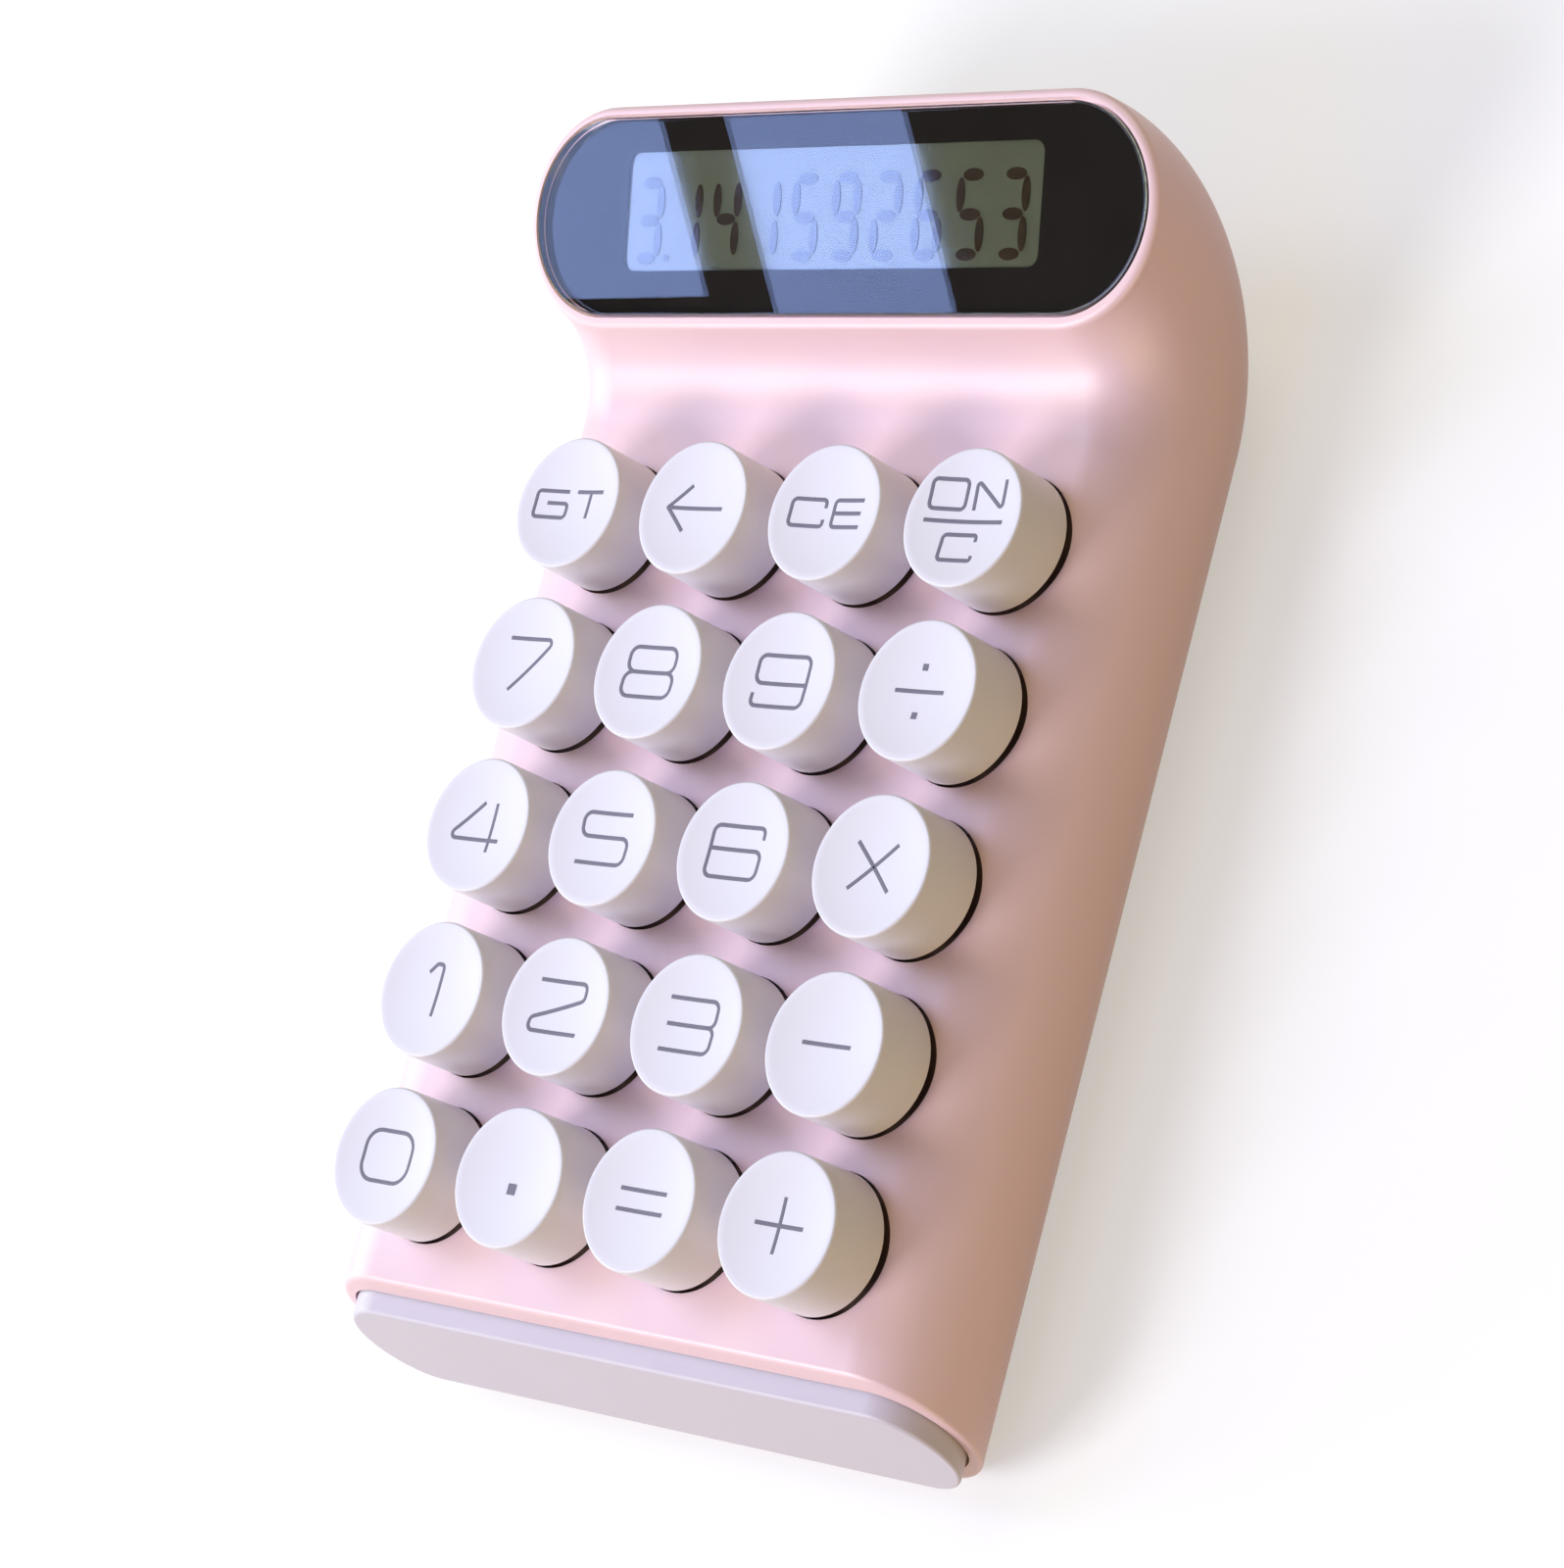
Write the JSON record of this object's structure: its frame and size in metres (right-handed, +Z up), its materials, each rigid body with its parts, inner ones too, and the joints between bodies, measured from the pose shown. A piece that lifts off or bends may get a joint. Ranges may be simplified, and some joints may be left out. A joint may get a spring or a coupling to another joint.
{
  "type": "desktop calculator",
  "caption": "Desktop calculator: a flat rounded case that bends up at the back into a tilted display, with round mechanical keys on its deck and a white cap in its front end.",
  "frame": {"origin": "centre of the footprint box, on the desk under the feet", "axes": "+X to the user's right, +Y away from the user towards the display, +Z up"},
  "size_m": [0.0904, 0.1412, 0.0347],
  "materials": {
    "shell_pink": "satin moulded",
    "cap_white": "satin moulded",
    "key_white": "satin moulded",
    "window_black": "polished, tinted",
    "screen_olive": "polished",
    "frame_black": "satin moulded",
    "ribbon_amber": "satin film",
    "plate_steel": "stamped",
    "board_green": "solder resist",
    "screw_steel": "turned",
    "cell_steel": "drawn",
    "contact_nickel": "nickel plated",
    "resin_black": "cast",
    "foot_rubber": "matte",
    "switch_brown": "moulded"
  },
  "bodies": {
    "housing": {"housing_shell": "shell_pink", "front_cap": "cap_white", "display_lens": "window_black", "lcd_panel": "screen_olive", "lcd_frame": "frame_black", "flex_cable": "ribbon_amber", "switch_plate": "plate_steel", "main_board": "board_green", "base_cover": "shell_pink", "cover_screw_front_left": "screw_steel", "cover_screw_front_right": "screw_steel", "cover_screw_rear_left": "screw_steel", "cover_screw_rear_right": "screw_steel", "coin_cell": "cell_steel", "cell_contact_negative": "contact_nickel", "cell_contact_positive": "contact_nickel", "controller_chip": "resin_black", "front_foot": "foot_rubber", "rear_foot": "foot_rubber", "switch_0": "switch_brown", "switch_point": "switch_brown", "switch_equals": "switch_brown", "switch_plus": "switch_brown", "switch_1": "switch_brown", "switch_2": "switch_brown", "switch_3": "switch_brown", "switch_minus": "switch_brown", "switch_4": "switch_brown", "switch_5": "switch_brown", "switch_6": "switch_brown", "switch_multiply": "switch_brown", "switch_7": "switch_brown", "switch_8": "switch_brown", "switch_9": "switch_brown", "switch_divide": "switch_brown", "switch_grand_total": "switch_brown", "switch_backspace": "switch_brown", "switch_clear_entry": "switch_brown", "switch_on_clear": "switch_brown"},
    "door": {"cell_door": "shell_pink"},
    "key_0": {"keycap_0": "key_white"},
    "key_point": {"keycap_point": "key_white"},
    "key_equals": {"keycap_equals": "key_white"},
    "key_plus": {"keycap_plus": "key_white"},
    "key_1": {"keycap_1": "key_white"},
    "key_2": {"keycap_2": "key_white"},
    "key_3": {"keycap_3": "key_white"},
    "key_minus": {"keycap_minus": "key_white"},
    "key_4": {"keycap_4": "key_white"},
    "key_5": {"keycap_5": "key_white"},
    "key_6": {"keycap_6": "key_white"},
    "key_multiply": {"keycap_multiply": "key_white"},
    "key_7": {"keycap_7": "key_white"},
    "key_8": {"keycap_8": "key_white"},
    "key_9": {"keycap_9": "key_white"},
    "key_divide": {"keycap_divide": "key_white"},
    "key_grand_total": {"keycap_grand_total": "key_white"},
    "key_backspace": {"keycap_backspace": "key_white"},
    "key_clear_entry": {"keycap_clear_entry": "key_white"},
    "key_on_clear": {"keycap_on_clear": "key_white"}
  },
  "joints": [
    {"name": "door_turn", "type": "hinge", "parent": "housing", "child": "door", "pos_m": [0, -0.01271, 0.0012], "axis": [0, 0, -1], "range_deg": [0, 45]},
    {"name": "press_0", "type": "slide", "parent": "housing", "child": "key_0", "axis": [0, 0, -1], "range_m": [0, 0.003], "stiffness_N_per_m": 80, "springref_m": -0.004},
    {"name": "press_point", "type": "slide", "parent": "housing", "child": "key_point", "axis": [0, 0, -1], "range_m": [0, 0.003], "stiffness_N_per_m": 80, "springref_m": -0.004},
    {"name": "press_equals", "type": "slide", "parent": "housing", "child": "key_equals", "axis": [0, 0, -1], "range_m": [0, 0.003], "stiffness_N_per_m": 80, "springref_m": -0.004},
    {"name": "press_plus", "type": "slide", "parent": "housing", "child": "key_plus", "axis": [0, 0, -1], "range_m": [0, 0.003], "stiffness_N_per_m": 80, "springref_m": -0.004},
    {"name": "press_1", "type": "slide", "parent": "housing", "child": "key_1", "axis": [0, 0, -1], "range_m": [0, 0.003], "stiffness_N_per_m": 80, "springref_m": -0.004},
    {"name": "press_2", "type": "slide", "parent": "housing", "child": "key_2", "axis": [0, 0, -1], "range_m": [0, 0.003], "stiffness_N_per_m": 80, "springref_m": -0.004},
    {"name": "press_3", "type": "slide", "parent": "housing", "child": "key_3", "axis": [0, 0, -1], "range_m": [0, 0.003], "stiffness_N_per_m": 80, "springref_m": -0.004},
    {"name": "press_minus", "type": "slide", "parent": "housing", "child": "key_minus", "axis": [0, 0, -1], "range_m": [0, 0.003], "stiffness_N_per_m": 80, "springref_m": -0.004},
    {"name": "press_4", "type": "slide", "parent": "housing", "child": "key_4", "axis": [0, 0, -1], "range_m": [0, 0.003], "stiffness_N_per_m": 80, "springref_m": -0.004},
    {"name": "press_5", "type": "slide", "parent": "housing", "child": "key_5", "axis": [0, 0, -1], "range_m": [0, 0.003], "stiffness_N_per_m": 80, "springref_m": -0.004},
    {"name": "press_6", "type": "slide", "parent": "housing", "child": "key_6", "axis": [0, 0, -1], "range_m": [0, 0.003], "stiffness_N_per_m": 80, "springref_m": -0.004},
    {"name": "press_multiply", "type": "slide", "parent": "housing", "child": "key_multiply", "axis": [0, 0, -1], "range_m": [0, 0.003], "stiffness_N_per_m": 80, "springref_m": -0.004},
    {"name": "press_7", "type": "slide", "parent": "housing", "child": "key_7", "axis": [0, 0, -1], "range_m": [0, 0.003], "stiffness_N_per_m": 80, "springref_m": -0.004},
    {"name": "press_8", "type": "slide", "parent": "housing", "child": "key_8", "axis": [0, 0, -1], "range_m": [0, 0.003], "stiffness_N_per_m": 80, "springref_m": -0.004},
    {"name": "press_9", "type": "slide", "parent": "housing", "child": "key_9", "axis": [0, 0, -1], "range_m": [0, 0.003], "stiffness_N_per_m": 80, "springref_m": -0.004},
    {"name": "press_divide", "type": "slide", "parent": "housing", "child": "key_divide", "axis": [0, 0, -1], "range_m": [0, 0.003], "stiffness_N_per_m": 80, "springref_m": -0.004},
    {"name": "press_grand_total", "type": "slide", "parent": "housing", "child": "key_grand_total", "axis": [0, 0, -1], "range_m": [0, 0.003], "stiffness_N_per_m": 80, "springref_m": -0.004},
    {"name": "press_backspace", "type": "slide", "parent": "housing", "child": "key_backspace", "axis": [0, 0, -1], "range_m": [0, 0.003], "stiffness_N_per_m": 80, "springref_m": -0.004},
    {"name": "press_clear_entry", "type": "slide", "parent": "housing", "child": "key_clear_entry", "axis": [0, 0, -1], "range_m": [0, 0.003], "stiffness_N_per_m": 80, "springref_m": -0.004},
    {"name": "press_on_clear", "type": "slide", "parent": "housing", "child": "key_on_clear", "axis": [0, 0, -1], "range_m": [0, 0.003], "stiffness_N_per_m": 80, "springref_m": -0.004}
  ]
}
